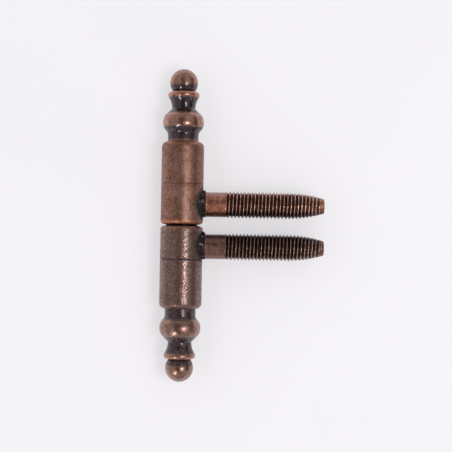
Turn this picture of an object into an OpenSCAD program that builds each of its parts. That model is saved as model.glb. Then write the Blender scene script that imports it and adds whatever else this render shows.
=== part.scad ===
// Screw-in door hinge in two lift-off halves with turned finials.
// The pin axis is +Z, the studs point along +X, and the origin is on the axis in the middle of the gap.

/* [Barrel] */
// Outside diameter of the knuckles and of the finial skirts
barrel_d = 16; // [15:0.5:20]
// Length of half the barrel, from the middle of the gap to the shoulder
barrel_half_l = 31.5; // [31:0.5:40]
// Height of the upper knuckle
upper_knuckle_h = 15.3; // [15:0.1:18]
// Height of the lower knuckle
lower_knuckle_h = 12.6; // [12.2:0.1:16]
// Rounding of the two knuckle ends that face the gap
knuckle_edge_r = 1.3; // [0.4:0.1:1.8]
// Bevel on both edges of each seam between knuckle and finial
seam_bevel = 0.15; // [0.05:0.05:0.4]

/* [Pin and washer] */
// Diameter of the hinge pin
pin_d = 8; // [6:0.1:8.6]
// Reach of the pin above the middle of the gap
pin_up_l = 24.5; // [20:0.5:26]
// Reach of the pin below the middle of the gap
pin_down_l = 23.5; // [18:0.5:26]
// Height of the domed tip of the pin
pin_dome_h = 1.8; // [0.8:0.1:3]
// Bevel on the tail of the pin
pin_tail_bevel = 0.6; // [0.2:0.1:1.2]
// Space left beyond each end of the pin in its finial
pin_end_gap = 0.8; // [0.3:0.1:1.5]
// Radial running clearance between the pin and the upper half
run_clearance = 0.05; // [0.02:0.01:0.09]
// Included angle of the drill point at the end of each blind bore
drill_angle = 118; // [90:1:140]
// Outside diameter of the thrust washer
washer_d = 12; // [10:0.1:13]
// Thickness of the thrust washer, which is the gap between the halves
washer_t = 0.6; // [0.4:0.1:1.5]
// Radial clearance between the washer and the pin
washer_clearance = 0.08; // [0.03:0.01:0.1]

/* [Upper finial joint] */
// Diameter of the spigot that is pressed into the upper knuckle
spigot_d = 12; // [10.5:0.1:13]
// Length of the spigot
spigot_l = 3; // [1.5:0.1:3.2]
// Space left under the end of the spigot
spigot_gap = 0.2; // [0.1:0.1:0.4]
// Lead bevel on the end of the spigot
spigot_bevel = 0.3; // [0.1:0.1:0.6]

/* [Studs] */
// Distance of each stud's axis from the middle of the gap
stud_offset = 7.95; // [7.5:0.05:8.2]
// Length of a stud from the barrel to its tip
stud_l = 45.8; // [36:0.2:80]
// Diameter of the plain shank
shank_d = 9.3; // [8:0.1:9.6]
// Length of the plain shank from the barrel to the thread
shank_l = 8.7; // [4:0.1:12]
// Outside diameter of the thread
thread_d = 10; // [9.8:0.1:12]
// Distance from one ridge of the thread to the next
thread_pitch = 1.365; // [1.2:0.005:2]
// Depth of the thread between its ridges
thread_depth = 0.76; // [0.5:0.02:0.9]
// Width of the flat crest of a ridge
crest_w = 0.3; // [0.2:0.02:0.5]
// Length of the ogive nose
nose_l = 13.4; // [8:0.2:18]
// Diameter of the nose at the tip
tip_d = 5.4; // [3:0.1:8]
// Depth to which the thread fades at the tip
tip_thread_depth = 0.3; // [0.1:0.05:0.5]
// Length of the plain end beyond the last ridge
plain_tip_l = 1.5; // [1.2:0.1:3]
// Rounding of the tip
tip_edge_r = 0.6; // [0.2:0.1:1.2]
// Diameter of the tenon in the knuckle wall
tenon_d = 7; // [5:0.1:7.4]
// Wall left between the tenon socket and the pin bore
socket_wall = 0.9; // [0.5:0.1:1.5]
// Height of the weld bead over the shank at the root of a stud
bead_h = 0.15; // [0.1:0.05:0.3]
// Length of the weld bead along the stud
bead_l = 1; // [0.5:0.1:3]

/* [Finial] */
// Rounding of the barrel's shoulder
shoulder_r = 2.1; // [0.6:0.1:2.2]
// Diameter of the neck above the shoulder
neck_d = 11.7; // [10.5:0.1:12]
// Radius of the hollow that runs from the neck into the bulb
neck_hollow_r = 2.2; // [1.5:0.1:3]
// Diameter of the bulb
bulb_d = 15.6; // [14:0.1:18]
// Height from the shoulder to the widest line of the bulb
bulb_z = 7.06; // [6.5:0.02:8]
// Radius of the bulb's side towards the neck
bulb_arc_r = 4; // [3.6:0.05:4.6]
// Radius of the bulb's side towards the waist
bulb_top_r = 6.5; // [5:0.1:7.5]
// Height from the widest line of the bulb to the foot of the waist
flank_h = 5.5; // [5:0.05:7]
// Angle between the bulb's flank and the axis
flank_angle = 45; // [38:1:52]
// Depth by which the arcs cut into the stretches they run on from
arc_bite = 0.03; // [0.02:0.01:0.1]
// Diameter of the waist at its foot
waist_d = 8.9; // [7:0.05:10]
// Radius of the long hollow from the waist to the collar
flare_arc_r = 7.8; // [6:0.1:9]
// Diameter of the flare where it meets the collar
flare_d = 11.2; // [10.2:0.1:11.4]
// Height from the foot of the waist to the widest line of the collar
flare_rise = 5.1; // [4.2:0.05:6]
// Diameter of the collar
collar_d = 11.95; // [11.4:0.05:14]
// Rounding of the collar's edge
collar_edge_r = 1.35; // [1:0.05:1.7]
// Height from the widest line of the collar to the middle of the ball
ball_rise = 4.69; // [4:0.01:5.5]
// Diameter of the ball
ball_d = 10.6; // [9.4:0.1:13]

/* [Hidden] */
$fn = 96;
// Finishes: relieved copper on the barrels, darker copper on the studs, bare steel inside
copper = [0.42, 0.28, 0.23];
dark_copper = [0.31, 0.20, 0.16];
bare_steel = [0.60, 0.60, 0.58];

barrel_r = barrel_d / 2;
pin_r = pin_d / 2;
run_r = pin_r + run_clearance;
gap_half = washer_t / 2;
upper_skirt_h = barrel_half_l - gap_half - upper_knuckle_h;
lower_skirt_h = barrel_half_l - gap_half - lower_knuckle_h;
socket_floor = run_r + socket_wall;
spigot_seat = spigot_l + spigot_gap;
stud_tip_x = barrel_r + stud_l;
thread_start_x = barrel_r + shank_l;
thread_turns = floor((stud_tip_x - plain_tip_l - thread_start_x) / thread_pitch);
thread_end_x = thread_start_x + thread_turns * thread_pitch;
ridge_rise = (thread_pitch - crest_w) / 2;
nose_start_x = stud_tip_x - nose_l;
nose_drop = (thread_d - tip_d) / 2;
nose_arc_r = (nose_l * nose_l + nose_drop * nose_drop) / (2 * nose_drop);
tip_round_r = (tip_d + tip_edge_r) / 2;
bead_r = shank_d / 2 + bead_h;
bead_round_x = barrel_r + bead_l - bead_h;
spigot_r = spigot_d / 2;
spigot_end_z = -upper_skirt_h - spigot_l;
spigot_full_z = spigot_end_z + spigot_bevel;
dome_arc_r = (pin_r * pin_r + pin_dome_h * pin_dome_h) / (2 * pin_dome_h);

// Heights on the finial, measured from the barrel's shoulder
bulb_c = bulb_d / 2 - bulb_arc_r;
hollow_x = neck_d / 2 + neck_hollow_r;
hollow_drop = sqrt(pow(bulb_arc_r + neck_hollow_r, 2) - pow(hollow_x - bulb_c, 2));
hollow_share = bulb_arc_r / (bulb_arc_r + neck_hollow_r);
hollow_z = bulb_z - hollow_drop;
hollow_top_r = bulb_c + (hollow_x - bulb_c) * hollow_share;
hollow_top_z = bulb_z - hollow_drop * hollow_share;
waist_z = bulb_z + flank_h;
flank_foot_r = waist_d / 2 + flank_h * tan(flank_angle);
collar_z = waist_z + flare_rise;
ball_z = collar_z + ball_rise;
finial_h = ball_z + ball_d / 2;

// Half section of a length turned from radius r0 at height z0 to radius r1 at height z1
module tapered(r0, r1, z0, z1) {
    polygon([[0, z0], [r0, z0], [r1, z1], [0, z1]]);
}

// Half section of a plain turned length of radius r between two heights
module turned(r, z0, z1) {
    tapered(r, r, min(z0, z1), max(z0, z1));
}

// Half section of a turned end: its edge is rounded from height z, upwards or, with up = -1, downwards
module rounded_end(r, edge_r, z, up = 1) {
    turned(r - edge_r, z, z + up * edge_r);
    intersection() {
        turned(r, z, z + up * edge_r);
        translate([r - edge_r, z])
            circle(edge_r);
    }
}

// Half section of a drilled blind bore from height z0 to z1, with its drill point beyond
module blind_bore(r, z0, z1) {
    turned(r, z0, z1);
    polygon([[0, z1], [r, z1], [0, z1 + r / tan(drill_angle / 2)]]);
}

// Half section of the neck above the shoulder and of the hollow that runs from it into the bulb
module neck_section() {
    turned(neck_d / 2, -shoulder_r, bulb_z);
    difference() {
        turned(hollow_top_r, hollow_z, hollow_top_z);
        translate([hollow_x - arc_bite, hollow_z])
            circle(neck_hollow_r);
    }
}

// Half section of the bulb: a tight round from the neck, a wider one above it and a flank to the waist
module bulb_section() {
    intersection() {
        turned(bulb_d, 0, bulb_z);
        translate([bulb_c, bulb_z])
            circle(bulb_arc_r);
    }
    intersection() {
        tapered(flank_foot_r, waist_d / 2, bulb_z, waist_z);
        translate([bulb_d / 2 - bulb_top_r, bulb_z])
            circle(bulb_top_r);
    }
}

// Half section of the long hollow above the waist and of the collar
module collar_section() {
    difference() {
        turned(flare_d / 2, waist_z, collar_z);
        translate([waist_d / 2 + flare_arc_r - arc_bite, waist_z])
            circle(flare_arc_r);
    }
    turned(collar_d / 2 - collar_edge_r, collar_z - collar_edge_r, collar_z + collar_edge_r);
    translate([collar_d / 2 - collar_edge_r, collar_z])
        circle(collar_edge_r);
}

// Half section of the ball on the end
module ball_section() {
    intersection() {
        turned(ball_d, collar_z, finial_h);
        translate([0, ball_z])
            circle(ball_d / 2);
    }
}

// Half section of a finial from its seam upwards, with the shoulder at height 0
module finial_section(skirt_h) {
    tapered(barrel_r - seam_bevel, barrel_r, -skirt_h, seam_bevel - skirt_h);
    turned(barrel_r, seam_bevel - skirt_h, -shoulder_r);
    rounded_end(barrel_r, shoulder_r, -shoulder_r);
    turned(waist_d / 2, -shoulder_r, collar_z);
    neck_section();
    bulb_section();
    collar_section();
    ball_section();
}

// Half section of a knuckle that stands on the gap: rounded at its foot and bevelled at its seam
module knuckle_section(h, bore_r) {
    difference() {
        union() {
            rounded_end(barrel_r, knuckle_edge_r, knuckle_edge_r, up = -1);
            turned(barrel_r, knuckle_edge_r, h - seam_bevel);
            tapered(barrel_r, barrel_r - seam_bevel, h - seam_bevel, h);
        }
        turned(bore_r, -washer_t, h + washer_t);
    }
}

// Socket for a stud's tenon, drilled into a knuckle from its side at height z
module tenon_socket(z) {
    translate([socket_floor, 0, z])
        rotate([0, 90, 0])
            cylinder(d = tenon_d, h = barrel_d);
}

// A stud along +X: weld bead, plain shank, thread and ogive nose, seated on the barrel by its tenon
module stud() {
    difference() {
        rotate([0, 90, 0])
            rotate_extrude() {
                turned(bead_r, 0, bead_round_x);
                rounded_end(bead_r, bead_h, bead_round_x);
                turned(shank_d / 2, barrel_r, thread_start_x);
                thread_section();
            }
        translate([0, 0, -barrel_d])
            cylinder(d = barrel_d, h = 2 * barrel_d);
    }
    translate([socket_floor, 0, 0])
        rotate([0, 90, 0])
            cylinder(d = tenon_d, h = thread_start_x - socket_floor);
}

// Radius over the crests at distance x from the pin's axis: straight along the thread, then an ogive
function crest_r(x) =
    thread_d / 2 - nose_arc_r + sqrt(pow(nose_arc_r, 2) - pow(max(x - nose_start_x, 0), 2));

// Radius at the root of the thread at distance x, its depth fading along the nose
function root_r(x) =
    crest_r(x) - thread_depth + (thread_depth - tip_thread_depth) * max(x - nose_start_x, 0) / nose_l;

// Outline of one ridge of the thread from distance x: its root and the two edges of its crest
function ridge(x) = [
    [root_r(x), x],
    [crest_r(x + ridge_rise), x + ridge_rise],
    [crest_r(x + ridge_rise + crest_w), x + ridge_rise + crest_w]
];

// Half section of the thread, as ridges turned at its pitch, and of the nose with its rounded tip
module thread_section() {
    outline = [
        [0, barrel_r],
        [root_r(barrel_r), barrel_r],
        for (i = [0 : thread_turns - 1]) each ridge(thread_start_x + i * thread_pitch),
        [root_r(thread_end_x), thread_end_x],
        [crest_r(thread_end_x + ridge_rise), thread_end_x + ridge_rise],
        [tip_d / 2, stud_tip_x],
        [0, stud_tip_x]
    ];
    intersection() {
        polygon(outline);
        union() {
            turned(thread_d, 0, stud_tip_x - tip_edge_r);
            rounded_end(tip_round_r, tip_edge_r, stud_tip_x - tip_edge_r);
        }
    }
}

// Upper finial: turned cap whose spigot is pressed into the upper knuckle and whose bore clears the pin
module upper_finial() {
    color(copper)
        translate([0, 0, barrel_half_l])
            rotate_extrude()
                difference() {
                    union() {
                        finial_section(upper_skirt_h);
                        tapered(spigot_r - spigot_bevel, spigot_r, spigot_end_z, spigot_full_z);
                        turned(spigot_r, spigot_full_z, seam_bevel - upper_skirt_h);
                    }
                    blind_bore(run_r, -barrel_half_l, pin_up_l + pin_end_gap - barrel_half_l);
                }
}

// Upper knuckle: turns on the pin and takes the upper finial's spigot and the upper stud's tenon
module upper_knuckle() {
    color(copper)
        difference() {
            translate([0, 0, gap_half])
                rotate_extrude()
                    difference() {
                        knuckle_section(upper_knuckle_h, run_r);
                        turned(spigot_r, upper_knuckle_h - spigot_seat, upper_knuckle_h + washer_t);
                    }
            tenon_socket(stud_offset);
        }
}

// Upper stud, which screws into the edge of the door
module upper_stud() {
    color(dark_copper)
        translate([0, 0, stud_offset])
            stud();
}

// Hinge pin: fixed in the lower half, with a domed tip that the upper half is lowered onto
module hinge_pin() {
    color(bare_steel)
        rotate_extrude() {
            tapered(pin_r - pin_tail_bevel, pin_r, -pin_down_l, pin_tail_bevel - pin_down_l);
            turned(pin_r, pin_tail_bevel - pin_down_l, pin_up_l - pin_dome_h);
            intersection() {
                turned(pin_r, pin_up_l - dome_arc_r, pin_up_l);
                translate([0, pin_up_l - dome_arc_r])
                    circle(dome_arc_r);
            }
        }
}

// Thrust washer: carries the upper half on the lower knuckle
module thrust_washer() {
    color(bare_steel)
        rotate_extrude()
            difference() {
                turned(washer_d / 2, -gap_half, gap_half);
                turned(pin_r + washer_clearance, -washer_t, washer_t);
            }
}

// Lower knuckle: pressed on the pin, takes the lower stud's tenon
module lower_knuckle() {
    color(copper)
        difference() {
            mirror([0, 0, 1])
                translate([0, 0, gap_half])
                    rotate_extrude()
                        knuckle_section(lower_knuckle_h, pin_r);
            tenon_socket(-stud_offset);
        }
}

// Lower stud, which screws into the door frame
module lower_stud() {
    color(dark_copper)
        translate([0, 0, -stud_offset])
            stud();
}

// Lower finial: turned cap pressed on the tail of the pin
module lower_finial() {
    color(copper)
        mirror([0, 0, 1])
            translate([0, 0, barrel_half_l])
                rotate_extrude()
                    difference() {
                        finial_section(lower_skirt_h);
                        blind_bore(pin_r, -barrel_half_l, pin_down_l + pin_end_gap - barrel_half_l);
                    }
}

upper_finial();
upper_knuckle();
upper_stud();
hinge_pin();
thrust_washer();
lower_knuckle();
lower_stud();
lower_finial();
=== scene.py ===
"""Screw-in door hinge with turned finials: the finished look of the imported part, and its stage."""

import math

import bpy
import numpy as np
from mathutils import Matrix, Vector


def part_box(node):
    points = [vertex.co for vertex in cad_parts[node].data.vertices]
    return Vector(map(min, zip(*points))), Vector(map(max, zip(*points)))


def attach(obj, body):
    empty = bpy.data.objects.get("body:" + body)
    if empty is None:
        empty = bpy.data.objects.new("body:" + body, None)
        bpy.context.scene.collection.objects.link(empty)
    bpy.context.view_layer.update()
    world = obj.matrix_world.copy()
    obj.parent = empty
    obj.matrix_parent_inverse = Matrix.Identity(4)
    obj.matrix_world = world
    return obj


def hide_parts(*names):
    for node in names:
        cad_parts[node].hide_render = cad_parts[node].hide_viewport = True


bl_info = {
    "name": "Screw-in door hinge",
    "version": (1, 0, 0),
    "blender": (4, 5, 0),
    "location": "3D View > Sidebar > Hinge",
    "description": "Turns, threads and finishes the pieces of a screw-in door hinge",
    "category": "Object",
}

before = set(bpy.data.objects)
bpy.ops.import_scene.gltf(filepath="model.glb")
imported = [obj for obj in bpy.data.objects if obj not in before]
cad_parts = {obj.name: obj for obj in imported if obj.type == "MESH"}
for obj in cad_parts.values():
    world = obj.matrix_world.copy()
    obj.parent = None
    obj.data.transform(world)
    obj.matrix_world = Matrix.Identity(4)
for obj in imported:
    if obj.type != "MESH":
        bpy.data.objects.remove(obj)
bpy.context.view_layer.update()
MM = 0.001


def cad_mm(node, corner, axis):
    """One face of a CAD node's box in millimetres: corner 0 is the lowest and 1 the highest."""
    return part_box(node)[corner][axis] / MM


# Sizes of the solids, in millimetres from the middle of the gap
BARREL_R = cad_mm("lower_knuckle", 1, 1)
GAP_HALF = cad_mm("upper_knuckle", 0, 2)
UPPER_SEAM = cad_mm("upper_knuckle", 1, 2)
LOWER_SEAM = -cad_mm("lower_knuckle", 0, 2)
FINIAL_TOP = cad_mm("upper_finial", 1, 2)
SPIGOT_END = cad_mm("upper_finial", 0, 2)
PIN_R = cad_mm("hinge_pin", 1, 0)
PIN_TOP = cad_mm("hinge_pin", 1, 2)
PIN_TAIL = cad_mm("hinge_pin", 0, 2)
WASHER_R = cad_mm("thrust_washer", 1, 0)
STUD_Z = (cad_mm("upper_stud", 0, 2) + cad_mm("upper_stud", 1, 2)) / 2
STUD_FOOT = cad_mm("upper_stud", 0, 0)
STUD_TIP = cad_mm("upper_stud", 1, 0)

# Fits and edges inside the barrel
RUN_CLEARANCE = 0.05
PIN_END_GAP = 0.8
PIN_DOME_H = 1.8
PIN_TAIL_BEVEL = 0.6
WASHER_BORE_R = PIN_R + 0.08
DRILL_SLOPE = 1 / math.tan(math.radians(59))
SEAM_BEVEL = 0.15
KNUCKLE_EDGE_R = 1.3
SPIGOT_R = 6.0
SPIGOT_BEVEL = 0.3
SPIGOT_SEAT = 3.2

# Turned forms of a finial, with heights from the barrel's shoulder
SHOULDER_R = 2.1
NECK_R, NECK_HOLLOW_R = 5.85, 2.2
BULB_R, BULB_ARC_R, BULB_TOP_R, BULB_Z = 7.8, 4.0, 6.5, 7.06
HOLLOW_Z, HOLLOW_TOP_Z = 2.546, 4.148
WAIST_R, WAIST_Z = 4.45, 12.56
FLARE_R, FLARE_ARC_R = 5.6, 7.8
COLLAR_R, COLLAR_EDGE_R, COLLAR_Z = 5.975, 1.35, 17.66
BALL_R, BALL_Z = 5.3, 22.35
SHOULDER_Z = FINIAL_TOP - BALL_Z - BALL_R

# Stretches of a stud, with distances from the pin's axis
TENON_R, TENON_BEVEL = 3.5, 0.3
BEAD_FOOT_R, BEAD_R, BEAD_END = 4.3, 4.8, 8.75
SHANK_R, THREAD_R = 4.65, 5.0
THREAD_START, NOSE_START = 16.5, 40.4
NOSE_ARC_R = 40.2
TIP_EDGE_R, TIP_ROUND_R = 0.6, 3.0
TIP_RINGS = [1.6, 0.8]

# How each half was polished: the wheel's lean below and above the bulb's widest line, its reach into hollows,
# the half width of the patina's soft end on the ball, and the share of patina left on the neck's foot
UPPER_WEAR = {"lean": (1.05, 2.2), "reach": 0.50, "fade": 1.6, "foot": 0.4}
LOWER_WEAR = {"lean": (-0.85, 0.75), "reach": 0.26, "fade": 0.3, "foot": 1.0}

# Radii of the polishing wheel and of the balls that find creases and ridges, and the height of a scored line
WHEEL_R, CREASE_R, RIDGE_R = 14.0, 1.6, 2.6
SCORE_Z = -15.74

# Stage in metres: each card's middle and two half edges, and each lamp's place, width, height and brightness
TABLE_HALF, TABLE_GAP = 0.9, 0.1 * MM
CARDS = (
    ("dark_card", (-0.12, -0.78, 0), (0.26, -0.03, 0), (0, 0, 0.7)),
    ("side_card", (0.86, -0.27, 0.05), (0, 0.27, 0), (0, 0, 0.6)),
)
LAMPS = (
    ("key", (0.195, -0.463, -0.070), 0.10, 0.18, 7.8),
    ("fill", (0.66, -1.22, -0.28), 0.30, 0.80, 0.8),
    ("window", (-0.42, -0.60, -0.62), 0.36, 0.09, 14.0),
    ("corner_lamp", (0.78, -0.24, -0.49), 0.06, 0.06, 14.0),
)
ROOM_LIGHT, ROOM_SEEN = 1.05, 0.52
TABLE_GLOW = 0.56
CAMERA_AIM = (16.785 * MM, 0, -0.042 * MM)
CAMERA_DISTANCE = 0.432
CAMERA_AZIMUTH, CAMERA_ELEVATION, CAMERA_ROLL = -0.5, -1.04, 0.987
CAMERA_SENSOR, CAMERA_LENS = 36.0, 90.9


def points(name, description, default):
    """A property for the number of points round a piece."""
    return bpy.props.IntProperty(name=name, description=description, default=default, min=48, max=240)


def length(name, description, default, low, high):
    """A length property, its default and limits given in millimetres."""
    return bpy.props.FloatProperty(
        name=name,
        description=description,
        default=default * MM,
        min=low * MM,
        max=high * MM,
        precision=5,
        subtype="DISTANCE",
        unit="LENGTH",
    )


def colour(name, description, default):
    """A colour property with its default."""
    return bpy.props.FloatVectorProperty(
        name=name, description=description, default=default, size=3, min=0.0, max=1.0, subtype="COLOR"
    )


class HingeSizes(bpy.types.PropertyGroup):
    """Sizes of the surface work."""

    rounds: points("Points round", "Points round each turned piece", 144)
    stud_rounds: points("Points round a stud", "Points round each threaded stud", 112)
    edge_softness: length("Edge softness", "Spread of the rounding of corners by plating", 0.07, 0.03, 0.2)
    thread_pitch: length("Thread pitch", "Distance from one thread crest to the next", 1.365, 1.0, 2.0)
    thread_depth: length("Thread depth", "Height of the thread from root to crest", 0.76, 0.4, 1.0)
    grain: length("Grain", "Size of the grain in the antiqued plating", 0.44, 0.1, 1.0)


class HingeColours(bpy.types.PropertyGroup):
    """Colours of the finishes and of the table."""

    copper: colour("Copper", "Relieved antique copper of the barrel and finials", (0.43, 0.235, 0.180))
    copper_deep: colour("Deep copper", "Redder, darker copper between brushed places", (0.30, 0.138, 0.090))
    lacquered: colour("Lacquered copper", "Greyer copper under the lower lacquer", (0.100, 0.056, 0.045))
    patina: colour("Patina", "Black patina left in the hollows", (0.008, 0.004, 0.004))
    patina_worn: colour("Worn patina", "Brown places in the patina", (0.050, 0.022, 0.020))
    # Black of the weld beads; on the barrel beside them it is soot and painted shade
    soot_and_shade: colour("Weld soot", "Black round the weld beads of the studs", (0.008, 0.006, 0.006))
    rubbed: colour("Rubbed copper", "Bright copper on rubbed edges and raised forms", (0.60, 0.25, 0.130))
    crest: colour("Thread crest", "Worn copper on the thread crests", (0.86, 0.54, 0.40))
    stud: colour("Stud copper", "Copper of the stud shanks", (0.52, 0.215, 0.130))
    # Greyer copper: grey specks, dust, and also a painted sheen on the studs' open sides and painted glints
    # in the lower patina
    dusty_sheen: colour("Dusty copper", "Greyer copper on open sides and in specks", (0.40, 0.235, 0.205))
    groove: colour("Thread root", "Dark red-brown in the thread roots", (0.075, 0.026, 0.016))
    steel: colour("Steel", "Bare ground steel of the pin", (0.55, 0.55, 0.54))
    grease: colour("Grease", "Film of grease on the pin", (0.20, 0.165, 0.13))
    # Painted shade: near black, as the bores and the faces in the gap look in shade
    bore_shade: colour("Bore steel", "Oiled steel of the bores and of the faces in the gap", (0.016, 0.009, 0.007))
    # Painted shade: near black, as the washer looks in the gap's shade
    washer: colour("Washer steel", "Oiled pressed steel of the washer", (0.014, 0.009, 0.008))
    table: colour("Table", "Pale table that the hinge lies on", (0.95, 0.935, 0.955))
    cloth: colour("Cloth", "Dark cloth of the cards", (0.14, 0.13, 0.14))


def ramp(values, low, high):
    """Smooth step from 0 at low to 1 at high: 3t squared minus 2t cubed."""
    t = np.clip((values - low) / (high - low), 0, 1)
    return t * t * (3 - 2 * t)


def disc(z, middle_r, middle_z, radius):
    """Radius of a turned round form at heights z: the far side of a circle in half section, 0 beside it."""
    drop = radius**2 - (z - middle_z) ** 2
    return np.where(drop >= 0, middle_r + np.sqrt(np.maximum(drop, 0)), 0)


def hollow(z, middle_r, middle_z, radius):
    """Radius of a turned hollow at heights z: the near side of a circle in half section."""
    return middle_r - np.sqrt(np.maximum(radius**2 - (z - middle_z) ** 2, 0))


def finial_outline(z):
    """Outline of a finial at heights z above the shoulder: the largest radius of its turned forms."""

    def between(low, high, radii):
        return np.where((z >= low) & (z <= high), radii, 0)

    flank = np.minimum(disc(z, BULB_R - BULB_TOP_R, BULB_Z, BULB_TOP_R), WAIST_R + WAIST_Z - z)
    flare = np.minimum(FLARE_R, hollow(z, WAIST_R + FLARE_ARC_R, WAIST_Z, FLARE_ARC_R))
    forms = [
        np.where(z <= -SHOULDER_R, BARREL_R, 0),
        between(-SHOULDER_R, 0, disc(z, BARREL_R - SHOULDER_R, -SHOULDER_R, SHOULDER_R)),
        between(0, BULB_Z, NECK_R),
        between(HOLLOW_Z, HOLLOW_TOP_Z, hollow(z, NECK_R + NECK_HOLLOW_R, HOLLOW_Z, NECK_HOLLOW_R)),
        between(0, BULB_Z, disc(z, BULB_R - BULB_ARC_R, BULB_Z, BULB_ARC_R)),
        between(BULB_Z, WAIST_Z, flank),
        between(WAIST_Z, COLLAR_Z, flare),
        disc(z, COLLAR_R - COLLAR_EDGE_R, COLLAR_Z, COLLAR_EDGE_R),
        between(COLLAR_Z, BALL_Z + BALL_R, disc(z, 0, BALL_Z, BALL_R)),
    ]
    return np.maximum.reduce(forms)


def half_outline(z, seam):
    """Outline of half the hinge at heights z from the gap's middle: pin, knuckle, bevelled seam, finial."""
    edge = GAP_HALF + KNUCKLE_EDGE_R
    rounding = disc(np.maximum(z, GAP_HALF), BARREL_R - KNUCKLE_EDGE_R, edge, KNUCKLE_EDGE_R)
    barrel = BARREL_R - np.maximum(SEAM_BEVEL - np.abs(z - seam), 0)
    knuckle = np.where(z < GAP_HALF, PIN_R, np.where(z < edge, rounding, barrel))
    return np.where(z > seam + 1, finial_outline(z - SHOULDER_Z), knuckle)


def rolled(radii, step, ball, side):
    """Outline moved out (side 1) or in (side -1) by a ball rolled along it: the extreme, over all heights,
    of the outline plus or minus the ball's own outline."""
    reach = int(ball / step)
    offsets = np.arange(-reach, reach + 1) * step
    cap = np.sqrt(np.maximum(ball**2 - offsets**2, 0))
    windows = np.lib.stride_tricks.sliding_window_view(np.pad(radii, reach, mode="edge"), 2 * reach + 1)
    return (windows + cap).max(1) if side > 0 else (windows - cap).min(1)


def wear_along(seam, lean, reach, fade, foot):
    """Heights, patina and rubbing along half the hinge.

    Patina is where a polishing wheel, rolled along the outline, leaves it untouched: the wheel's outline less
    the outline itself, in excess of the wheel's reach. On slopes that face the barrel the wheel's lean adds
    to it. Creases that a small ball can't enter keep it too. It is blurred by a bell, its ends are softer on
    the ball, and the foot of the neck keeps only a share of it. Rubbing is what a ball rolled inside the
    outline can't reach: the outer edges."""
    step = 0.05
    z = np.arange(-20, FINIAL_TOP + 16, step)
    radii = np.where(np.abs(z) > FINIAL_TOP, -20.0, half_outline(np.abs(z), seam))
    slope = np.clip(np.gradient(radii, step), 0, 20)
    facing = np.where(z > SHOULDER_Z, slope / np.sqrt(1 + slope**2), 0)
    wheel = rolled(rolled(radii, step, WHEEL_R, 1), step, WHEEL_R, -1) - radii
    wheel = wheel + np.where(z < SHOULDER_Z + BULB_Z, lean[0], lean[1]) * facing
    crease = rolled(rolled(radii, step, CREASE_R, 1), step, CREASE_R, -1) - radii
    ridge = radii - rolled(rolled(radii, step, RIDGE_R, -1), step, RIDGE_R, 1)
    spread = np.where(z > SHOULDER_Z + COLLAR_Z, fade, 0.4)
    patina = np.maximum(ramp(wheel, reach - spread, reach + spread), 0.85 * ramp(crease, 0.02, 0.12))
    bell = np.exp(-0.5 * (np.arange(-30, 31) * step / 0.55) ** 2)
    patina = np.convolve(patina, bell / bell.sum(), "same")
    patina = patina * (foot + (1 - foot) * ramp(z, SHOULDER_Z + 0.4, SHOULDER_Z + 1.4))
    return z, patina, ramp(ridge, 0.10, 0.50)


def soften(path, spread, loop):
    """A path of radius and height resampled evenly, its corners rounded by a bell-shaped moving average."""
    gap = 0.02
    if loop:
        path = np.vstack([path, path[:1]])
    travel = np.concatenate([[0], np.cumsum(np.hypot(*np.diff(path, axis=0).T))])
    places = np.linspace(0, travel[-1], int(travel[-1] / gap), endpoint=not loop)
    even = np.stack([np.interp(places, travel, path[:, k]) for k in (0, 1)], 1)
    reach = int(3 * spread / gap)
    bell = np.exp(-0.5 * (np.arange(-reach, reach + 1) * gap / spread) ** 2)
    edge = {"mode": "wrap"} if loop else {"mode": "reflect", "reflect_type": "odd"}
    padded = np.pad(even, ((reach, reach), (0, 0)), **edge)
    return np.stack([np.convolve(padded[:, k], bell / bell.sum(), "valid") for k in (0, 1)], 1)


def pick_rows(path, loop):
    """Rows along a path: one for each gap of its length, and more for each radian that it turns."""
    gap, rows_per_radian = 0.9, 22
    step = np.diff(path, axis=0, append=path[:1] if loop else 2 * path[-1:] - path[-2:-1])
    heading = np.unwrap(np.arctan2(step[:, 1], step[:, 0]))
    turn = np.abs(np.diff(heading, append=heading[-1]))
    share = np.hypot(*step.T) / gap + turn * rows_per_radian
    weight = np.concatenate([[0], np.cumsum(share)])[: len(path)]
    picks = np.linspace(0, weight[-1], int(weight[-1]), endpoint=not loop)
    return np.stack([np.interp(picks, weight, path[:, k]) for k in (0, 1)], 1)


def revolve(rows, rounds):
    """Grid of a surface turned round Z: x = r cos a, y = r sin a, z = height, for each row and angle a."""
    a = np.linspace(0, 2 * math.pi, rounds, endpoint=False)
    r, z = rows[:, :1], rows[:, 1:]
    return np.stack([r * np.cos(a), r * np.sin(a), z + 0 * a], -1)


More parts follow.
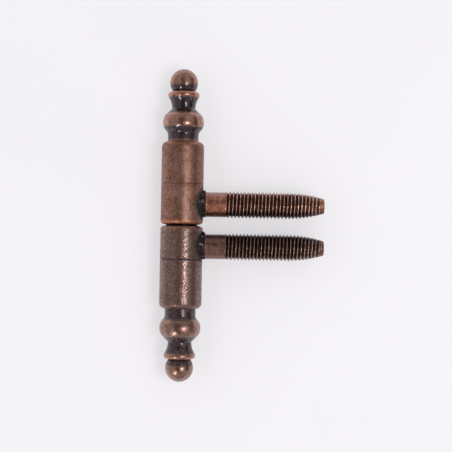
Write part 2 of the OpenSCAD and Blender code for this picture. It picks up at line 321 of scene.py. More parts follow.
def skin(name, grid, ends=None, loop=False, traits=None):
    """Closed mesh over a grid of points in millimetres that goes round in its second direction.

    Quads join the rows. The ends are two points that close the first and last row with fans, or the rows form
    a loop. Traits are named numbers, one for each row or each point, which the finishes read."""
    rows, rounds = grid.shape[:2]
    index = np.arange(rows * rounds).reshape(rows, rounds)
    here = index if loop else index[:-1]
    there = np.roll(index, -1, 0) if loop else index[1:]
    quads = np.stack([here, np.roll(here, -1, 1), np.roll(there, -1, 1), there], -1)
    faces = quads.reshape(-1, 4).tolist()
    places = grid.reshape(-1, 3)
    if ends is not None:
        first, last = rows * rounds, rows * rounds + 1
        faces += np.stack([np.full(rounds, first), np.roll(index[0], -1), index[0]], -1).tolist()
        faces += np.stack([index[-1], np.roll(index[-1], -1), np.full(rounds, last)], -1).tolist()
        places = np.vstack([places, ends])
    mesh = bpy.data.meshes.new(name)
    mesh.from_pydata((places * MM).tolist(), [], faces)
    for trait, values in (traits or {}).items():
        values = np.asarray(values, float)
        spread = np.broadcast_to(values.reshape(rows, -1), (rows, rounds)).reshape(-1)
        if ends is not None:
            spread = np.concatenate([spread, [spread[0], spread[-1]]])
        mesh.attributes.new(trait, "FLOAT", "POINT").data.foreach_set("value", spread.astype(np.float32))
    mesh.shade_smooth()
    mesh.set_sharp_from_angle(angle=math.radians(40))
    if mesh.validate():
        raise ValueError(f"{name} has faulty faces")
    piece = bpy.data.objects.new(name, mesh)
    bpy.context.scene.collection.objects.link(piece)
    return piece


def fit(piece, body, node, finish):
    """Gives a piece its finish, and puts it in the place of its CAD node."""
    piece.data.materials.append(finish)
    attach(piece, body)
    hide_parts(node)


def poled_piece(name, rows, rounds, traits=None):
    """Surface of revolution whose first and last row are points on the axis."""
    ends = [[0, 0, rows[0, 1]], [0, 0, rows[-1, 1]]]
    inner = {trait: values[1:-1] for trait, values in (traits or {}).items()}
    return skin(name, revolve(rows[1:-1], rounds), ends=ends, traits=inner)


def turned_piece(name, path, sizes, lower, loop):
    """A plated piece turned round the pin's axis, from a path of radius and height in the upper half's sense.

    The path's outer stretch goes upwards. For the lower half, which is the one under lacquer, it is mirrored
    and reversed, which keeps the faces outwards. Rows well inside the outline are bare metal, painted near
    black as the shade in the bores and the gap."""
    seam = LOWER_SEAM if lower else UPPER_SEAM
    rows = pick_rows(soften(path, sizes.edge_softness / MM, loop), loop)
    z, patina, rubbing = wear_along(seam, **(LOWER_WEAR if lower else UPPER_WEAR))
    traits = {
        "patina": np.interp(rows[:, 1], z, patina),
        "rubbing": np.interp(rows[:, 1], z, rubbing),
        "bare": ramp(half_outline(rows[:, 1], seam) - rows[:, 0], 0.35, 0.6),
        "lacquer": np.full(len(rows), float(lower)),
    }
    if lower:
        rows = rows[::-1] * [1, -1]
        traits = {trait: values[::-1] for trait, values in traits.items()}
    if loop:
        return skin(name, revolve(rows, sizes.rounds), loop=True, traits=traits)
    return poled_piece(name, rows, sizes.rounds, traits)


def finial_path(seam, inner):
    """Half section of a finial: inner outline from the drill point to the seam, then outside to the pole.

    The outside's heights close up towards the pole as a sine does, so the ball's end stays round."""
    z = seam + (FINIAL_TOP - seam) * np.sin(np.linspace(0, math.pi / 2, 20001))
    radii = finial_outline(z - SHOULDER_Z) - np.maximum(SEAM_BEVEL + seam - z, 0)
    return np.vstack([inner, np.stack([radii, z], 1)])


def knuckle_path(seam, bore_r, seat):
    """Half section of a knuckle as a loop: gap face, rounded edge, wall, bevelled seam, seat and bore."""
    a = np.radians(np.linspace(-90, 0, 40))[:, None]
    middle = [BARREL_R - KNUCKLE_EDGE_R, GAP_HALF + KNUCKLE_EDGE_R]
    edge = middle + KNUCKLE_EDGE_R * np.hstack([np.cos(a), np.sin(a)])
    wall = [[BARREL_R, seam - SEAM_BEVEL], [BARREL_R - SEAM_BEVEL, seam]]
    return np.vstack([[[bore_r, GAP_HALF]], edge, wall, seat])


def thread_height(along, turn, pitch):
    """Height of a thread, 0 at the root and 1 at the crest: a wave along the stud, shifted one pitch a turn,
    whose flanks are a mix of straight ones and smooth steps between narrow flats."""
    flat, straight = 0.12, 0.7
    place = along / pitch + turn / (2 * math.pi)
    slope = 1 - np.abs(2 * (place - np.floor(place)) - 1)
    flank = np.clip((slope - flat) / (1 - 2 * flat), 0, 1)
    return straight * flank + (1 - straight) * ramp(slope, flat, 1 - flat)


def stud_grid(sizes, top_lump):
    """Grid of a stud along X with its axis at height 0: tenon, bead on the barrel, shank, thread and nose.

    Each row has a distance along, a radius, a grip, a swell and a blackness. Grip 0 lies on the barrel,
    x = square root of R squared less y squared, and grip 1 lies flat across the stud. Where the bead swells,
    its radius takes waves of the angle and a larger lump on top. The thread is cut into a radius that follows
    the nose's arc, and it runs out at both ends."""
    pitch, depth = sizes.thread_pitch / MM, sizes.thread_depth / MM
    a = np.linspace(0, 2 * math.pi, sizes.stud_rounds, endpoint=False)
    rise = np.linspace(0, 1, 16)
    blend = np.linspace(0.1, 1, 7)
    tip = np.radians(np.linspace(0, 90, 9))
    run = np.arange(THREAD_START - 0.2, STUD_TIP - TIP_EDGE_R - 0.05, pitch / 25)
    hump = np.sin(math.pi * (0.25 + 0.55 * rise))
    throat = SHANK_R + (BEAD_R - SHANK_R) * (0.5 + 0.5 * np.cos(math.pi * blend))
    burnt = 0.80 + 0.20 * ramp(rise, 0, 0.5) - 0.25 * ramp(rise, 0.6, 1)
    stretches = [
        ([STUD_FOOT, STUD_FOOT + TENON_BEVEL], [TENON_R - TENON_BEVEL, TENON_R], 1, 0, 1),
        (0, [TENON_R, BEAD_FOOT_R], 0, 0, 1),
        (BEAD_END, BEAD_R + 0.05 * (1 - rise), rise, hump, burnt),
        (BEAD_END + 0.5 * blend, throat, 1, 0.55 * (1 - blend), 1 - ramp(blend, 0, 1)),
        (np.linspace(BEAD_END + 0.6, THREAD_START - 0.3, 14), SHANK_R, 1, 0, 0),
        (run, THREAD_R, 1, 0, 0),
        (STUD_TIP - TIP_EDGE_R * (1 - np.sin(tip)), TIP_ROUND_R - TIP_EDGE_R * (1 - np.cos(tip)), 1, 0, 0),
        (STUD_TIP, TIP_RINGS, 1, 0, 0),
    ]
    rows = np.hstack([np.stack(np.broadcast_arrays(*stretch)) for stretch in stretches])
    along, radius, grip, swell, bead = rows[..., None]

    ogive = THREAD_R - NOSE_ARC_R + np.sqrt(NOSE_ARC_R**2 - np.maximum(along - NOSE_START, 0) ** 2)
    fade = ramp(along, THREAD_START - 0.1, THREAD_START + 0.7)
    fade = fade * (1 - ramp(along, STUD_TIP - 2.2, STUD_TIP - 0.9))
    taper = depth * (1 - 0.8 * ramp(along, NOSE_START, STUD_TIP))
    height = thread_height(along - THREAD_START, a, pitch)
    radii = np.minimum(radius, ogive) - fade * taper * (1 - height)
    start = ramp(along, THREAD_START - 0.2, THREAD_START + 0.9)
    radii = np.where(along < NOSE_START, SHANK_R + start * (radii - SHANK_R), radii)
    radii = np.where(along < run[0], radius, radii)

    lump = 0.5 + 0.5 * np.sin(11 * a + 1.7 * np.sin(3 * a + 0.4)) * np.cos(2 * a + 0.9)
    blob = top_lump * np.maximum(np.sin(a - 0.2), 0) ** 7
    radii = radii + swell * (0.17 * lump + blob)
    y, z = radii * np.cos(a), radii * np.sin(a)
    x = (1 - grip) * np.sqrt(BARREL_R**2 - y**2) + grip * along
    traits = {"thread": fade, "crest": height, "bead": bead, "ripple": swell * lump}
    return np.stack([x, y, z], -1), traits


class Value:
    """A number that varies over a surface. Sums, differences, products and powers of it add Math nodes."""

    def __init__(self, finish, socket):
        self.finish = finish
        self.socket = socket

    def math(self, operation, first, second=0.0):
        """The result of a Math node, of which at least one input varies."""
        return self.finish.add("ShaderNodeMath", {"operation": operation}, {0: first, 1: second})

    def most(self, other):
        """The larger of two numbers."""
        return self.math("MAXIMUM", self, other)

    def __abs__(self):
        return self.math("ABSOLUTE", self)

    def __add__(self, other):
        return self.math("ADD", self, other)

    def __radd__(self, other):
        return self.math("ADD", other, self)

    def __sub__(self, other):
        return self.math("SUBTRACT", self, other)

    def __rsub__(self, other):
        return self.math("SUBTRACT", other, self)

    def __mul__(self, other):
        return self.math("MULTIPLY", self, other)

    def __rmul__(self, other):
        return self.math("MULTIPLY", other, self)

    def __pow__(self, other):
        return self.math("POWER", self, other)


class Finish:
    """The nodes of one material, or of the world."""

    def __init__(self, owner):
        self.owner = owner
        owner.use_nodes = True
        self.tree = owner.node_tree
        self.tree.nodes.clear()

    def add(self, kind, settings, inputs, output=0):
        """Adds a node: first its settings, then its inputs' values or links. Returns one of its outputs."""
        node = self.tree.nodes.new(kind)
        for key, value in settings.items():
            setattr(node, key, value)
        for key, value in inputs.items():
            if isinstance(value, Value):
                self.tree.links.new(value.socket, node.inputs[key])
            else:
                node.inputs[key].default_value = value
        return Value(self, node.outputs[output]) if node.outputs else None

    def all_outputs(self, kind, inputs):
        """Adds a node and returns all its outputs by name."""
        node = self.add(kind, {}, inputs).socket.node
        return {socket.name: Value(self, socket) for socket in node.outputs}

    def trait(self, name):
        """A number stored on the piece's points."""
        return self.add("ShaderNodeAttribute", {"attribute_name": name}, {}, "Fac")

    def place(self):
        """Position on the piece, in metres."""
        return self.add("ShaderNodeTexCoord", {}, {}, "Object")

    def axes(self, place):
        """The three coordinates of a position."""
        return self.all_outputs("ShaderNodeSeparateXYZ", {0: place}).values()

    def seen(self):
        """1 for rays from the camera and for mirrored or refracted ones, 0 for rays that only carry light."""
        rays = self.all_outputs("ShaderNodeLightPath", {})
        return rays["Is Camera Ray"].most(rays["Is Glossy Ray"]).most(rays["Is Transmission Ray"])

    def noise(self, place, size, detail=2.0, roughness=0.5, stretch=(1.0, 1.0, 1.0)):
        """Noise with features of that size in metres, stretched along the axes."""
        scale = tuple(1 / s for s in stretch)
        spot = self.add("ShaderNodeMapping", {}, {"Vector": place, "Scale": scale})
        inputs = {"Vector": spot, "Scale": 1 / size, "Detail": detail, "Roughness": roughness}
        return self.add("ShaderNodeTexNoise", {}, inputs)

    def smooth(self, value, low, high):
        """Smooth step from 0 at low to 1 at high."""
        settings = {"interpolation_type": "SMOOTHSTEP"}
        return self.add("ShaderNodeMapRange", settings, {0: value, 1: low, 2: high, 3: 0.0, 4: 1.0})

    def mix(self, share, first, second):
        """Mix of two colours."""
        colours = [c if isinstance(c, Value) else (*c, 1.0) for c in (first, second)]
        settings = {"data_type": "RGBA", "clamp_factor": True}
        return self.add("ShaderNodeMix", settings, {0: share, 6: colours[0], 7: colours[1]}, 2)

    def shade(self, colour, factor):
        """A colour made lighter or darker by a number."""
        colour = colour if isinstance(colour, Value) else (*colour, 1.0)
        settings = {"data_type": "RGBA", "blend_type": "MULTIPLY"}
        tone = self.add("ShaderNodeCombineColor", {}, {0: factor, 1: factor, 2: factor})
        return self.add("ShaderNodeMix", settings, {0: 1.0, 6: colour, 7: tone}, 2)

    def bump(self, height, depth, strength):
        """Normal of a surface with that relief, its depth in metres."""
        inputs = {"Height": height, "Distance": depth, "Strength": strength}
        return self.add("ShaderNodeBump", {}, inputs, "Normal")

    def surface(self, **inputs):
        """Principled surface with these inputs, on the material's output."""
        named = {key.replace("_", " ").title().replace("Ior", "IOR"): value for key, value in inputs.items()}
        shader = self.add("ShaderNodeBsdfPrincipled", {}, named)
        self.add("ShaderNodeOutputMaterial", {}, {"Surface": shader})
        return self.owner


def darker(colour, share):
    """A plain colour times a share."""
    return [share * c for c in colour]


def weld_soot_and_shade(finish, x, y, level, blots):
    """Soot and painted shade on the stud's side of the barrel, at its edge beside the stud: it fades raggedly
    with the distance from the stud's axis.
    """
    off = level - STUD_Z * MM
    heat = (y * y + off * off) ** 0.5 + blots * (2.4 * MM)
    return (1 - finish.smooth(heat, 5.0 * MM, 8.0 * MM)) * finish.smooth(x, 1.0 * MM, 4.0 * MM)


def dirt_lines(finish, x, z, level, lacquer, mottle):
    """Dirt in the seams, wider and darker under lacquer, and in a line scored into the lower barrel."""
    off = abs(level - (lacquer * (LOWER_SEAM - UPPER_SEAM) + UPPER_SEAM) * MM)
    seam = 1 - finish.smooth(off, 0.06 * MM, 0.20 * MM + lacquer * (0.38 * MM))
    seam = seam * (finish.smooth(mottle, 0.3, 0.6) * 0.5 + lacquer * 0.8)
    score = 1 - finish.smooth(abs(z - SCORE_Z * MM), 0.10 * MM, 0.45 * MM)
    score = score * finish.smooth(x, 1.0 * MM, 3.0 * MM) * finish.smooth(mottle, 0.38, 0.54) * 0.9
    return seam.most(score)


def antique_copper(colours, grain):
    """Antiqued copper plating: brown and relieved, black in the hollows, bright on rubbed edges.

    It is sooty at the studs, where the barrel's edge also carries painted shade. The finials are glossier and
    redder than the barrel. The lower half's lacquer makes its barrel greyer, with bright specks in it, and
    its patina speckled, partly with grey specks that are painted glints."""
    finish = Finish(bpy.data.materials.new("antiqued_plating"))
    place = finish.place()
    x, y, z = finish.axes(place)
    level = abs(z)
    clouds = finish.noise(place, 6 * MM, 3.0)
    patches = finish.noise(place, 2.4 * MM)
    mottle = finish.noise(place, 1.4 * MM, 2.0, 0.6)
    specks = finish.noise(place, grain, 2.0, 0.6)
    flecks = finish.noise(place, 0.8 * grain, 1.0)
    blots, grit = mottle - 0.5, specks - 0.5
    lacquer = finish.trait("lacquer")
    finial = finish.smooth(level, (SHOULDER_Z - 0.5) * MM, (SHOULDER_Z + 1.5) * MM)

    # Weld soot, and painted shade at the barrel's edge beside each stud
    soot_and_shade = weld_soot_and_shade(finish, x, y, level, blots)
    rub = finish.trait("rubbing") * finish.smooth(mottle + grit * 0.5, 0.25, 0.52)
    stain = finish.trait("patina") * (1 - lacquer * 0.06) + blots * (0.35 + lacquer * 0.55)
    dark = finish.smooth(stain + grit * (0.30 + lacquer * 1.5), 0.20, 0.74)
    dark = dark.most(dirt_lines(finish, x, z, level, lacquer, mottle)) * (1 - rub * 0.8)
    spangle = lacquer * finish.smooth(flecks, 0.48, 0.60) * (1 - finial)

    base = finish.smooth(clouds + blots * 0.7 + grit * 0.5, 0.30, 0.72)
    base = finish.mix(base, colours.copper_deep, colours.copper)
    base = finish.mix(lacquer * 0.55 * (1 - finial * 0.7), base, colours.lacquered)
    base = finish.mix(finial * (0.15 + finish.smooth(mottle, 0.40, 0.70) * 0.52), base, colours.rubbed)
    uneven = finish.smooth(patches, 0.48, 0.62) * (0.07 + lacquer * 0.24) + lacquer * 0.08
    base = finish.shade(base, 1 - finial * uneven)
    pits = finish.smooth(specks, 0.36, 0.50)
    base = finish.shade(base, 0.42 + pits * 0.48 + finish.smooth(flecks, 0.55, 0.75) * 0.5)
    base = finish.mix(spangle * 0.4, base, colours.dusty_sheen)
    base = finish.mix(rub * (0.75 - lacquer * 0.45), base, colours.rubbed)
    patina_and_glints = finish.smooth(mottle + grit * 0.5, 0.35, 0.70)
    patina_and_glints = finish.mix(patina_and_glints, colours.patina, colours.patina_worn)
    # Grey specks in the lower patina are painted glints on its grains
    patina_and_glints = finish.mix(lacquer * finish.smooth(specks, 0.54, 0.62) * 0.24, patina_and_glints, colours.dusty_sheen)
    base = finish.mix(dark, base, patina_and_glints)
    base = finish.mix(soot_and_shade, base, colours.soot_and_shade)
    # The bores and the faces in the gap are painted near black as their shade
    base = finish.mix(finish.trait("bare"), base, colours.bore_shade)

    gloss = 0.03 + finial * (0.46 + lacquer * 0.14) + lacquer * 0.03 + spangle * 0.8
    rough = 0.44 + lacquer * (0.08 - finial * 0.04) - spangle * 0.27 - finial * 0.17 - grit * 0.3
    calm = 1 - dark * (0.85 - lacquer * 0.75)
    return finish.surface(
        base_color=base,
        metallic=0.95 * (1 - dark.most(soot_and_shade)),
        roughness=rough - dark * (0.22 - lacquer * 0.09) + soot_and_shade * 0.35,
        coat_weight=gloss * (1 - dark * (0.92 + (lacquer * 0.15 - 0.12) * finial)) * (1 - soot_and_shade),
        coat_roughness=0.24,
        coat_ior=2.0,
        specular_ior_level=0.6,
        specular_tint=(0.95, 0.92, 1.0, 1.0),
        normal=finish.bump((specks * 0.7 + mottle * 0.3) * calm, 0.09 * MM, 0.6),
    )


def plating(scene):
    """The antiqued plating, which the finials and knuckles share."""
    made = bpy.data.materials.get("antiqued_plating")
    return made or antique_copper(scene.hinge_colours, scene.hinge_sizes.grain)


def stud_copper(colours, grain):
    """Copper wash on the studs: brown shank, dark red-brown thread roots, bright crests, a black weld bead.

    The sides of the two studs that face each other get painted shade. The sides that face away get a painted
    grey sheen, and the whole shank of the lower stud, which is under lacquer, is dusty grey. Bits of bare
    steel lie in the bead."""
    finish = Finish(bpy.data.materials.new("stud_wash"))
    place = finish.place()
    mottle = finish.noise(place, 1.3 * MM, 2.0, 0.6)
    specks = finish.noise(place, grain, 2.0, 0.6)
    draw = finish.noise(place, 0.35 * MM, 2.0, 0.6, (9.0, 1.0, 1.0))
    blots, grit = mottle - 0.5, specks - 0.5
    thread, crest = finish.trait("thread"), finish.trait("crest")
    bead, ripple = finish.trait("bead"), finish.trait("ripple")
    lacquer, shade_side = finish.trait("lacquer"), finish.trait("shade_side")

    base = finish.mix(finish.smooth(mottle, 0.3, 0.7), darker(colours.stud, 0.55), colours.stud)
    base = finish.mix(lacquer * 0.4, base, colours.lacquered)
    # Painted grey sheen on the side away from the other stud, and dusty grey on the lower stud's shank
    dust_and_sheen = finish.trait("sheen_side").most(lacquer * (0.5 + shade_side * 0.4))
    base = finish.mix(dust_and_sheen * (0.8 - thread * 0.6), base, colours.dusty_sheen)
    base = finish.shade(base, 1 + blots * (1 - thread) * (0.5 + lacquer * 0.7))
    base = finish.shade(base, 0.35 + specks * 0.5 + draw * 0.8)
    flank = thread * (1 - finish.smooth(crest + grit * 0.3, 0.62, 1.0))
    groove = finish.mix(lacquer, colours.groove, darker(colours.groove, 0.5))
    base = finish.mix(flank * 0.95, base, groove)
    worn = thread * finish.smooth(crest + blots * 0.9 + grit * 0.8, 0.82, 1.04)
    base = finish.mix(worn * (0.95 - lacquer * 0.15), base, colours.crest)
    # Painted shade on the side of each stud that faces the other stud
    painted_shade = shade_side * (0.72 - lacquer * (0.39 - thread * 0.27))
    base = finish.shade(base, (1 - painted_shade) * (1 - lacquer * 0.32))
    base = finish.mix(finish.smooth(bead, 0.2, 0.6), base, darker(colours.copper_deep, 0.5))
    black = finish.smooth(bead + blots * 0.9 + grit * 0.5, 0.35, 0.95)
    base = finish.mix(black, base, colours.soot_and_shade)
    spatter = finish.smooth(ripple + grit * 1.8, 0.86, 1.02) * black
    base = finish.mix(spatter, base, colours.steel)
    return finish.surface(
        base_color=base,
        metallic=0.92 * (1 - black) + spatter * 0.9,
        roughness=0.36 - grit * 0.2 - worn * 0.08 + black * 0.35 - spatter * 0.4,
        coat_weight=(0.06 + worn * 0.45) * (1 - black),
        coat_roughness=0.2,
        coat_ior=2.0,
        specular_ior_level=0.25,
        specular_tint=(0.95, 0.92, 1.0, 1.0),
        normal=finish.bump(specks * 0.6 + draw * 0.4, 0.06 * MM, 0.5),
    )


def ground_steel(colours):
    """Ground steel of the pin: fine rings from grinding, and a thin film of grease in patches."""
    finish = Finish(bpy.data.materials.new("ground_steel"))
    place = finish.place()
    rings = finish.noise(place, 0.12 * MM, 2.0, 0.6, (12.0, 12.0, 1.0))
    smears = finish.noise(place, 4 * MM, 3.0, 0.55, (1.0, 1.0, 1.8))
    film = finish.smooth(smears, 0.48, 0.68)
    base = finish.shade(finish.mix(film * 0.55, colours.steel, colours.grease), 0.8 + rings * 0.4)
    return finish.surface(
        base_color=base,
        metallic=1.0,
        roughness=0.24 + rings * 0.16 + film * 0.12,
        normal=finish.bump(rings, 0.01 * MM, 0.4),
    )


def pressed_steel(colours):
    """Pressed steel of the washer, painted near black as the shade in the gap: dull, mottled by use, with
    fine wear rings on its faces.
    """
    finish = Finish(bpy.data.materials.new("pressed_steel"))
    place = finish.place()
    x, y, _ = finish.axes(place)
    radius = (x * x + y * y) ** 0.5
    inputs = {"W": radius, "Scale": 9000.0, "Detail": 2.0}
    rings = finish.add("ShaderNodeTexNoise", {"noise_dimensions": "1D"}, inputs)
    mottle = finish.noise(place, 1.2 * MM, 3.0, 0.6)
    base = finish.mix(finish.smooth(mottle, 0.35, 0.7), darker(colours.washer, 0.6), colours.washer)
    base = finish.shade(base, 0.8 + rings * 0.4)
    return finish.surface(
        base_color=base,
        metallic=1.0,
        roughness=0.34 + mottle * 0.2,
        normal=finish.bump(rings, 0.01 * MM, 0.4),
    )


def pale_table(colours):
    """Pale matt table top, faintly uneven. It glows a little where it is seen, and from below it is clear."""
    finish = Finish(bpy.data.materials.new("pale_table"))
    uneven = finish.noise(finish.place(), 60 * MM)
    base = finish.shade(colours.table, 0.985 + uneven * 0.03)
    top = finish.add("ShaderNodeBsdfDiffuse", {}, {"Color": base, "Roughness": 0.5})
    glow = finish.add("ShaderNodeEmission", {}, {"Color": base, "Strength": 1.0})
    top = finish.add("ShaderNodeMixShader", {}, {0: finish.seen() * TABLE_GLOW, 1: top, 2: glow})
    below = finish.add("ShaderNodeBsdfTransparent", {}, {})
    side = finish.add("ShaderNodeNewGeometry", {}, {}, "Backfacing")
    mixed = finish.add("ShaderNodeMixShader", {}, {0: side, 1: top, 2: below})
    finish.add("ShaderNodeOutputMaterial", {}, {"Surface": mixed})
    return finish.owner


def dark_cloth(colours):
    """Dark woven cloth of the cards, which the barrel mirrors as darker bands."""
    finish = Finish(bpy.data.materials.new("dark_cloth"))
    weave = finish.noise(finish.place(), 2 * MM)
    return finish.surface(base_color=finish.shade(colours.cloth, 0.7 + weave * 0.6), roughness=0.95)


def studio():
    """Bright room: its walls are dimmer where they are seen or mirrored than where they light the table."""
    finish = Finish(bpy.data.worlds.new("studio"))
    level = ROOM_LIGHT - finish.seen() * (ROOM_LIGHT - ROOM_SEEN)
    walls = finish.add("ShaderNodeBackground", {}, {"Color": (0.97, 0.97, 1.0, 1.0), "Strength": level})
    finish.add("ShaderNodeOutputWorld", {}, {"Surface": walls})
    return finish.owner


def sheet(name, middle, across, up, finish):
    """Flat rectangle on the stage: its middle plus or minus two half edges, corner by corner."""
    corners = np.array([[-1, -1], [1, -1], [1, 1], [-1, 1]]) @ np.array([across, up]) + middle
    mesh = bpy.data.meshes.new(name)
    mesh.from_pydata(corners.tolist(), [], [(0, 1, 2, 3)])
    mesh.materials.append(finish)
    board = bpy.data.objects.new(name, mesh)
    bpy.context.scene.collection.objects.link(board)
    return board


def softbox(name, place, width, height, level):
    """Area lamp turned to the hinge. Its power is level times pi times its area: level is its brightness."""
    data = bpy.data.lights.new(name, "AREA")
    data.shape = "RECTANGLE"
    data.size, data.size_y = width, height
    data.energy = level * math.pi * width * height
    lamp = bpy.data.objects.new(name, data)
    lamp.location = place
    lamp.rotation_mode = "QUATERNION"
    lamp.rotation_quaternion = (-Vector(place)).to_track_quat("-Z", "Z")
    bpy.context.scene.collection.objects.link(lamp)
    return lamp


def long_camera():
    """Camera with a long lens, almost square to the hinge: turned by azimuth, elevation and roll."""
    azimuth, elevation = math.radians(CAMERA_AZIMUTH), math.radians(CAMERA_ELEVATION)
    roll = math.radians(CAMERA_ROLL)
    level = math.cos(elevation)
    back = Vector((math.sin(azimuth) * level, -math.cos(azimuth) * level, math.sin(elevation)))
    right = Vector((0, 0, 1)).cross(back).normalized()
    up = back.cross(right)
    rolled_right = right * math.cos(roll) + up * math.sin(roll)
    rolled_up = up * math.cos(roll) - right * math.sin(roll)
    turn = Matrix((rolled_right, rolled_up, back)).transposed().to_4x4()
    data = bpy.data.cameras.new("camera")
    data.sensor_width, data.lens = CAMERA_SENSOR, CAMERA_LENS
    data.clip_start = 0.01
    camera = bpy.data.objects.new("camera", data)
    camera.matrix_world = Matrix.Translation(Vector(CAMERA_AIM) + back * CAMERA_DISTANCE) @ turn
    bpy.context.scene.collection.objects.link(camera)
    return camera


class HINGE_OT_finials(bpy.types.Operator):
    """Turn the upper and lower finial"""

    bl_idname = "hinge.finials"
    bl_label = "Turn the finials"

    def execute(self, context):
        sizes = context.scene.hinge_sizes
        finish = plating(context.scene)
        run_r = PIN_R + RUN_CLEARANCE
        floor = PIN_TOP + PIN_END_GAP
        inner = [
            [0, floor + run_r * DRILL_SLOPE],
            [run_r, floor],
            [run_r, SPIGOT_END],
            [SPIGOT_R - SPIGOT_BEVEL, SPIGOT_END],
            [SPIGOT_R, SPIGOT_END + SPIGOT_BEVEL],
            [SPIGOT_R, UPPER_SEAM],
        ]
        path = finial_path(UPPER_SEAM, inner)
        piece = turned_piece("turned_upper_finial", path, sizes, lower=False, loop=False)
        fit(piece, "door_half", "upper_finial", finish)
        floor = PIN_END_GAP - PIN_TAIL
        inner = [[0, floor + PIN_R * DRILL_SLOPE], [PIN_R, floor], [PIN_R, LOWER_SEAM]]
        path = finial_path(LOWER_SEAM, inner)
        piece = turned_piece("turned_lower_finial", path, sizes, lower=True, loop=False)
        fit(piece, "frame_half", "lower_finial", finish)
        return {"FINISHED"}


class HINGE_OT_knuckles(bpy.types.Operator):
    """Turn the upper and lower knuckle"""

    bl_idname = "hinge.knuckles"
    bl_label = "Turn the knuckles"

    def execute(self, context):
        sizes = context.scene.hinge_sizes
        finish = plating(context.scene)
        run_r = PIN_R + RUN_CLEARANCE
        floor = UPPER_SEAM - SPIGOT_SEAT
        path = knuckle_path(UPPER_SEAM, run_r, [[SPIGOT_R, UPPER_SEAM], [SPIGOT_R, floor], [run_r, floor]])
        piece = turned_piece("turned_upper_knuckle", path, sizes, lower=False, loop=True)
        fit(piece, "door_half", "upper_knuckle", finish)
        path = knuckle_path(LOWER_SEAM, PIN_R, [[PIN_R, LOWER_SEAM]])
        piece = turned_piece("turned_lower_knuckle", path, sizes, lower=True, loop=True)
        fit(piece, "frame_half", "lower_knuckle", finish)
        return {"FINISHED"}


class HINGE_OT_studs(bpy.types.Operator):
    """Thread the two studs and lay their weld beads"""

    bl_idname = "hinge.studs"
    bl_label = "Thread the studs"

    def execute(self, context):
        sizes, colours = context.scene.hinge_sizes, context.scene.hinge_colours
        finish = stud_copper(colours, sizes.grain)
        for name, body, node, z, top_lump in (
            ("threaded_upper_stud", "door_half", "upper_stud", STUD_Z, 0.45),
            ("threaded_lower_stud", "frame_half", "lower_stud", -STUD_Z, 0.85),
        ):
            grid, traits = stud_grid(sizes, top_lump)
            inward = -math.copysign(1, z) * grid[..., 2] / np.hypot(grid[..., 1], grid[..., 2])
            # Painted shade goes on the side that faces the other stud, a painted grey sheen on the side that
            # faces away
            traits["shade_side"] = ramp(inward, 0.2, 1.0)
            traits["sheen_side"] = ramp(-inward, 0.35, 0.95)
            traits["lacquer"] = np.full(len(grid), float(z < 0))
            ends = [[STUD_FOOT, 0, z], [STUD_TIP, 0, z]]
            piece = skin(name, grid + [0, 0, z], ends=ends, traits=traits)
            fit(piece, body, node, finish)
        return {"FINISHED"}


class HINGE_OT_pin(bpy.types.Operator):
    """Grind the pin"""

    bl_idname = "hinge.pin"
    bl_label = "Grind the pin"

    def execute(self, context):
        sizes, colours = context.scene.hinge_sizes, context.scene.hinge_colours
        dome_r = (PIN_R**2 + PIN_DOME_H**2) / (2 * PIN_DOME_H)
        a = np.linspace(math.asin(PIN_R / dome_r), 0, 60)[:, None]
        dome = [0, PIN_TOP - dome_r] + dome_r * np.hstack([np.sin(a), np.cos(a)])
        tail = [[0, PIN_TAIL], [PIN_R - PIN_TAIL_BEVEL, PIN_TAIL], [PIN_R, PIN_TAIL + PIN_TAIL_BEVEL]]
        path = soften(np.vstack([tail, dome]), sizes.edge_softness / MM, loop=False)
        piece = poled_piece("ground_pin", pick_rows(path, loop=False), sizes.rounds)
        fit(piece, "frame_half", "hinge_pin", ground_steel(colours))
        return {"FINISHED"}


class HINGE_OT_washer(bpy.types.Operator):
    """Press the thrust washer"""

    bl_idname = "hinge.washer"
    bl_label = "Press the washer"

    def execute(self, context):
        sizes, colours = context.scene.hinge_sizes, context.scene.hinge_colours
        inner, outer = WASHER_BORE_R, WASHER_R
        path = np.array([[inner, -GAP_HALF], [outer, -GAP_HALF], [outer, GAP_HALF], [inner, GAP_HALF]])
        path = soften(path, sizes.edge_softness / MM, loop=True)
        piece = skin("pressed_washer", revolve(pick_rows(path, loop=True), sizes.rounds), loop=True)
        fit(piece, "washer", "thrust_washer", pressed_steel(colours))
        return {"FINISHED"}


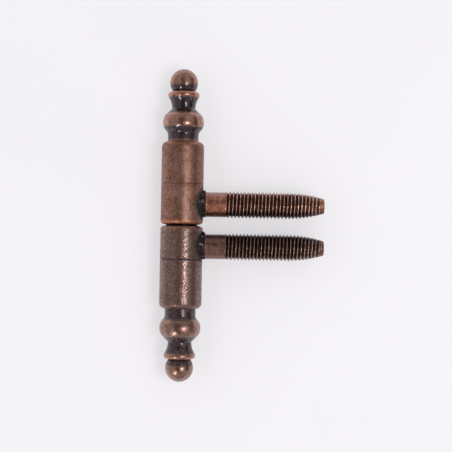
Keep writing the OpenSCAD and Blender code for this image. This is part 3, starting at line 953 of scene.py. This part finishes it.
class HINGE_OT_stage(bpy.types.Operator):
    """Set the table, the cards, the lamps, the world and the camera"""

    bl_idname = "hinge.stage"
    bl_label = "Set the stage"

    def execute(self, context):
        scene = context.scene
        middle = (0, BARREL_R * MM + TABLE_GAP, 0)
        top = pale_table(scene.hinge_colours)
        sheet("table", middle, (TABLE_HALF, 0, 0), (0, 0, TABLE_HALF), top)
        cloth = dark_cloth(scene.hinge_colours)
        for card in CARDS:
            sheet(*card, cloth).visible_camera = False
        for lamp in LAMPS:
            softbox(*lamp)
        scene.objects["window"].visible_diffuse = False
        scene.world = studio()
        scene.camera = long_camera()
        scene.view_settings.view_transform = "Standard"
        return {"FINISHED"}


class HINGE_PT_build(bpy.types.Panel):
    """Lists the steps that build the hinge, and their sizes and colours"""

    bl_label = "Door hinge"
    bl_idname = "HINGE_PT_build"
    bl_space_type = "VIEW_3D"
    bl_region_type = "UI"
    bl_category = "Hinge"

    def draw(self, context):
        for step in STEPS:
            self.layout.operator(step.bl_idname)
        for group in (context.scene.hinge_sizes, context.scene.hinge_colours):
            for name in group.__annotations__:
                self.layout.prop(group, name)


STEPS = (
    HINGE_OT_finials,
    HINGE_OT_knuckles,
    HINGE_OT_studs,
    HINGE_OT_pin,
    HINGE_OT_washer,
    HINGE_OT_stage,
)
CLASSES = (HingeSizes, HingeColours, *STEPS, HINGE_PT_build)


def register():
    """Registers the classes, and gives each scene its sizes and colours."""
    for cls in CLASSES:
        bpy.utils.register_class(cls)
    bpy.types.Scene.hinge_sizes = bpy.props.PointerProperty(type=HingeSizes)
    bpy.types.Scene.hinge_colours = bpy.props.PointerProperty(type=HingeColours)


def unregister():
    """Takes back what register does."""
    del bpy.types.Scene.hinge_colours
    del bpy.types.Scene.hinge_sizes
    for cls in reversed(CLASSES):
        bpy.utils.unregister_class(cls)


def main():
    """Registers the classes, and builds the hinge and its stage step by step."""
    register()
    bpy.ops.hinge.finials()
    bpy.ops.hinge.knuckles()
    bpy.ops.hinge.studs()
    bpy.ops.hinge.pin()
    bpy.ops.hinge.washer()
    bpy.ops.hinge.stage()


if __name__ == "__main__":
    main()
